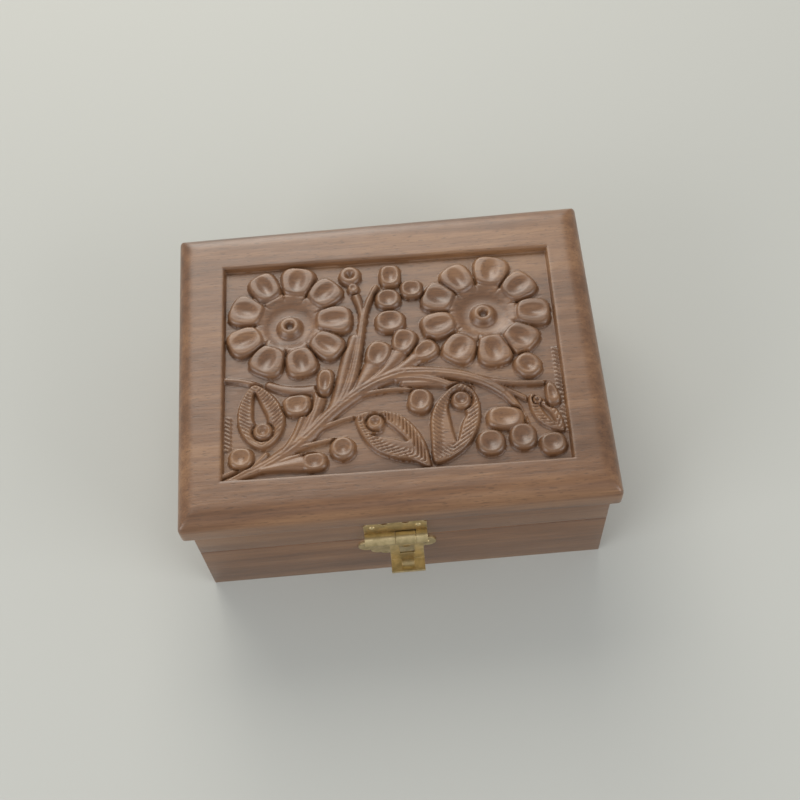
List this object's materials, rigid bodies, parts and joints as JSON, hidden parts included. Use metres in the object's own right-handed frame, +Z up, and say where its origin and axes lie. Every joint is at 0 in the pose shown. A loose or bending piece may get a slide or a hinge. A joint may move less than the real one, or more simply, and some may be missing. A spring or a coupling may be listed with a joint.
{
  "type": "dice box with hinged lid",
  "caption": "Small hardwood dice box with a deep hinged lid, a moulded lid board carved with flowers in a sunk panel, and a brass hasp.",
  "frame": {"origin": "middle of the underside of the tray", "axes": "+Z up, +X to the right along the long side, -Y towards the hasp"},
  "size_m": [0.15, 0.1267, 0.06],
  "materials": {
    "carved_lid_wood": "lacquered hardwood, carved",
    "wall_wood": "lacquered hardwood",
    "bottom_wood": "plain hardwood",
    "hinge_brass": "rolled sheet, dulled",
    "hasp_brass": "pressed sheet, dulled",
    "brass_rod": "drawn wire",
    "brass_screws": "turned"
  },
  "bodies": {
    "tray": {"tray_front_board": "wall_wood", "tray_back_board": "wall_wood", "tray_left_board": "wall_wood", "tray_right_board": "wall_wood", "bottom_board": "bottom_wood", "left_hinge_tray_leaf": "hinge_brass", "left_hinge_pin": "brass_rod", "right_hinge_tray_leaf": "hinge_brass", "right_hinge_pin": "brass_rod", "tray_hinge_screws": "brass_screws", "hasp_tray_plate": "hasp_brass", "hasp_stud": "brass_rod", "hasp_tray_nails": "brass_rod"},
    "lid": {"lid_board": "carved_lid_wood", "lid_front_rim": "wall_wood", "lid_back_rim": "wall_wood", "lid_left_rim": "wall_wood", "lid_right_rim": "wall_wood", "left_hinge_lid_leaf": "hinge_brass", "right_hinge_lid_leaf": "hinge_brass", "lid_hinge_screws": "brass_screws", "hasp_lid_plate": "hasp_brass", "hasp_lid_nails": "brass_rod", "hasp_pin": "brass_rod"},
    "hasp": {"hasp_tongue": "hasp_brass"}
  },
  "joints": [
    {"name": "lid_hinge", "type": "hinge", "parent": "tray", "child": "lid", "pos_m": [0, 0.05865, 0.0301], "axis": [-1, 0, 0], "range_deg": [0, 175]},
    {"name": "hasp_swing", "type": "hinge", "parent": "lid", "child": "hasp", "pos_m": [-0.0025, -0.0592, 0.035], "axis": [-1, 0, 0], "range_deg": [-10, 130]}
  ]
}
